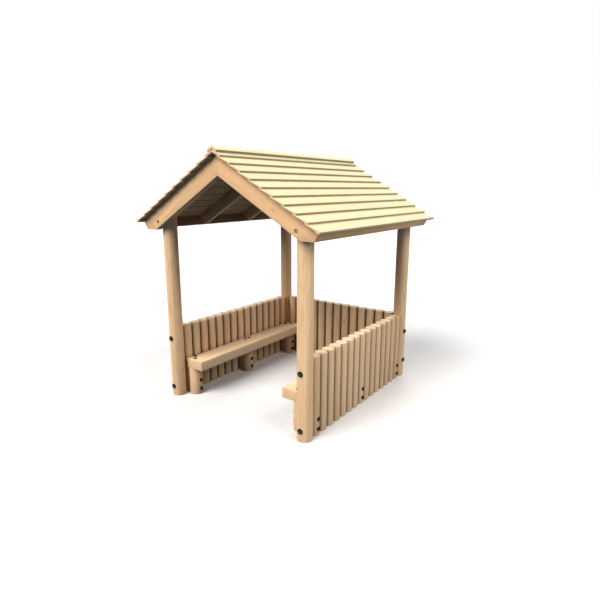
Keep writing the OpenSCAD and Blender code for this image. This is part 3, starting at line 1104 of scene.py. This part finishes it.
def seen_directly(tree):
    """1 for what the camera, a reflection or a clear surface shows, 0 for light that bounces on."""
    path = add_node(tree, "ShaderNodeLightPath").outputs
    seen = maths(tree, "MAXIMUM", path["Is Camera Ray"], path["Is Glossy Ray"])
    return maths(tree, "MAXIMUM", seen, path["Is Transmission Ray"])


class GAZEBO_OT_stage(Operator):
    """Set the pale floor, the soft lights, the white surround and the camera"""
    bl_idname = "gazebo.stage"
    bl_label = "Stage"

    def execute(self, context):
        scene = context.scene
        scene.view_settings.view_transform = "Standard"
        fresh()
        bpy.ops.mesh.primitive_plane_add(size=FLOOR_WIDE, location=(0, 0, -FLOOR_DROP))
        floor = settle("floor")
        made, tree, shader = new_material("floor_pale")
        pale = add_node(tree, "ShaderNodeBsdfDiffuse", {"Color": (*finish().floor, 1)})
        dim = add_node(tree, "ShaderNodeBsdfDiffuse", {"Color": (*finish().bounce, 1)})
        blend = {0: seen_directly(tree), 1: dim.outputs[0], 2: pale.outputs[0]}
        both = add_node(tree, "ShaderNodeMixShader", blend)
        tree.links.new(both.outputs[0], tree.nodes["Material Output"].inputs["Surface"])
        tree.nodes.remove(shader)
        floor.data.materials.append(made)
        soft_sun("key", -104, 43, 44, 1.27)
        soft_sun("side", -2, 48, 30, 0.465)
        soft_sun("low", 10, 16, 28, 0.25)
        soft_sun("back", 115, 22, 40, 0.62)
        world = bpy.data.worlds.new("surround")
        scene.world = world
        world.use_nodes = True
        air = world.node_tree
        sky = mix(air, seen_directly(air), (*finish().surround, 1), (1, 1, 1, 1))
        air.links.new(sky, air.nodes["Background"].inputs["Color"])
        view = bpy.data.cameras.new("photo_view")
        view.sensor_width = 36
        view.lens = CAMERA_LENS
        holder = bpy.data.objects.new("photo_view", view)
        holder.location = CAMERA_PLACE
        holder.rotation_euler = [math.radians(turn) for turn in CAMERA_TURN]
        scene.collection.objects.link(holder)
        scene.camera = holder
        return {"FINISHED"}


OPERATORS = (
    GAZEBO_OT_stage, GAZEBO_OT_posts, GAZEBO_OT_end_rafters, GAZEBO_OT_inner_rafters, GAZEBO_OT_fascias,
    GAZEBO_OT_roof_boards, GAZEBO_OT_ridge_boards, GAZEBO_OT_palisades, GAZEBO_OT_seats, GAZEBO_OT_legs,
    GAZEBO_OT_caps, GAZEBO_OT_bolts, GAZEBO_OT_tie_rods)


class GAZEBO_PT_panel(Panel):
    """Sidebar panel with the gazebo's pieces, sizes, finishes and painted shade"""
    bl_idname = "GAZEBO_PT_panel"
    bl_label = "Garden Gazebo"
    bl_space_type = "VIEW_3D"
    bl_region_type = "UI"
    bl_category = "Gazebo"

    def draw(self, context):
        column = self.layout.column()
        for operator in OPERATORS:
            column.operator(operator.bl_idname)
        for group in (sizes(), finish(), weather()):
            box = self.layout.box()
            for key in group.__annotations__:
                box.prop(group, key)


CLASSES = (GazeboSizes, GazeboFinish, GazeboPaintedShade, *OPERATORS, GAZEBO_PT_panel)


def register():
    for item in CLASSES:
        bpy.utils.register_class(item)
    bpy.types.Scene.gazebo_sizes = PointerProperty(type=GazeboSizes)
    bpy.types.Scene.gazebo_finish = PointerProperty(type=GazeboFinish)
    bpy.types.Scene.gazebo_weather = PointerProperty(type=GazeboPaintedShade)


def unregister():
    del bpy.types.Scene.gazebo_weather
    del bpy.types.Scene.gazebo_finish
    del bpy.types.Scene.gazebo_sizes
    for item in reversed(CLASSES):
        bpy.utils.unregister_class(item)


def main():
    register()
    for operator in OPERATORS:
        group, name = operator.bl_idname.split(".")
        getattr(getattr(bpy.ops, group), name)()
    fresh()


if __name__ == "__main__":
    main()
